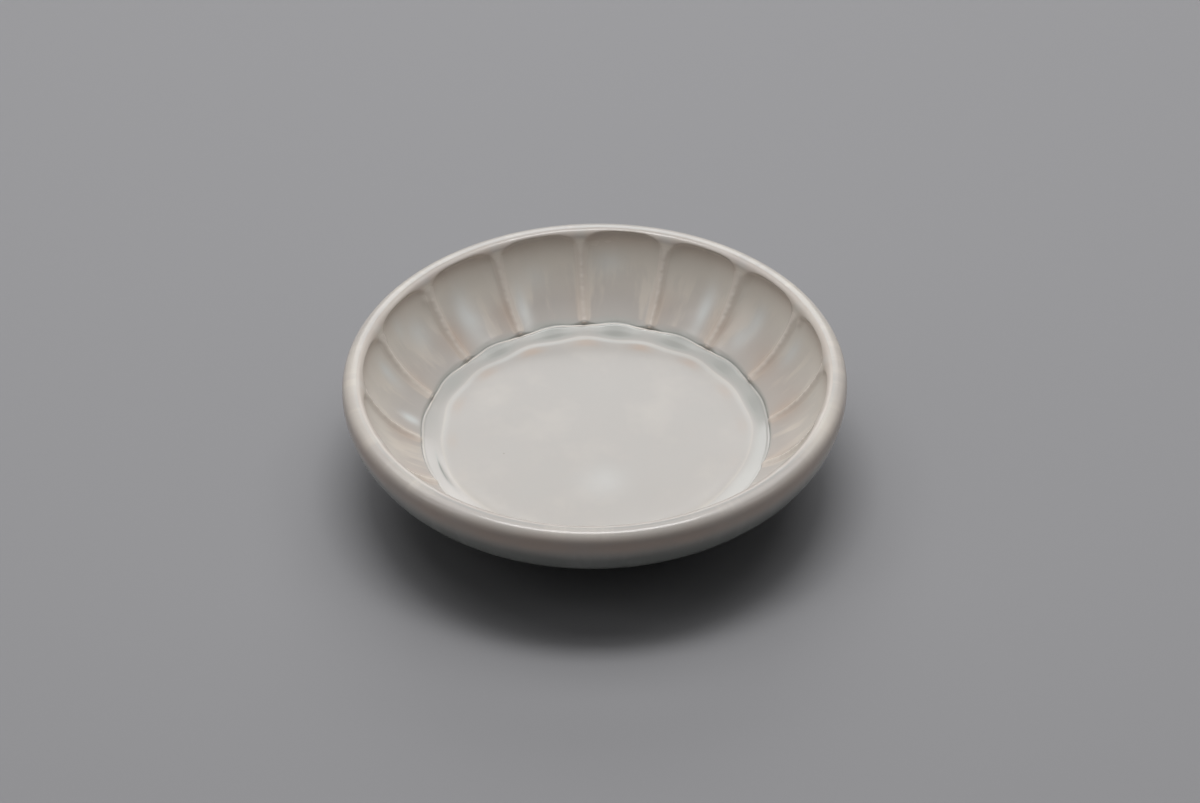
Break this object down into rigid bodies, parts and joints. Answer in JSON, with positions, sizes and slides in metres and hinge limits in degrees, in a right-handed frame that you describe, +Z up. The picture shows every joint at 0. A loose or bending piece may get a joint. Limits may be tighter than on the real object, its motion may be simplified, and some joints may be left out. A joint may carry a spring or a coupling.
{
  "type": "soy sauce dish",
  "caption": "Small round porcelain dish for soy sauce: shallow well with a fluted inner wall, smooth rounded rim and low foot ring, glazed pale green-white.",
  "frame": {"origin": "middle of the foot ring's bearing face, on the table", "axes": "+Z up along the dish's axis, out of the well. +X runs through one of the ridges between two flutes"},
  "size_m": [0.09, 0.09, 0.022],
  "materials": {
    "porcelain": "matte",
    "bare_porcelain": "matte",
    "inner_glaze": "gloss",
    "outer_glaze": "gloss",
    "base_glaze": "gloss"
  },
  "bodies": {
    "root": {"body": "porcelain", "foot_ring": "bare_porcelain", "inner_glaze": "inner_glaze", "outer_glaze": "outer_glaze", "base_glaze": "base_glaze"}
  },
  "joints": []
}
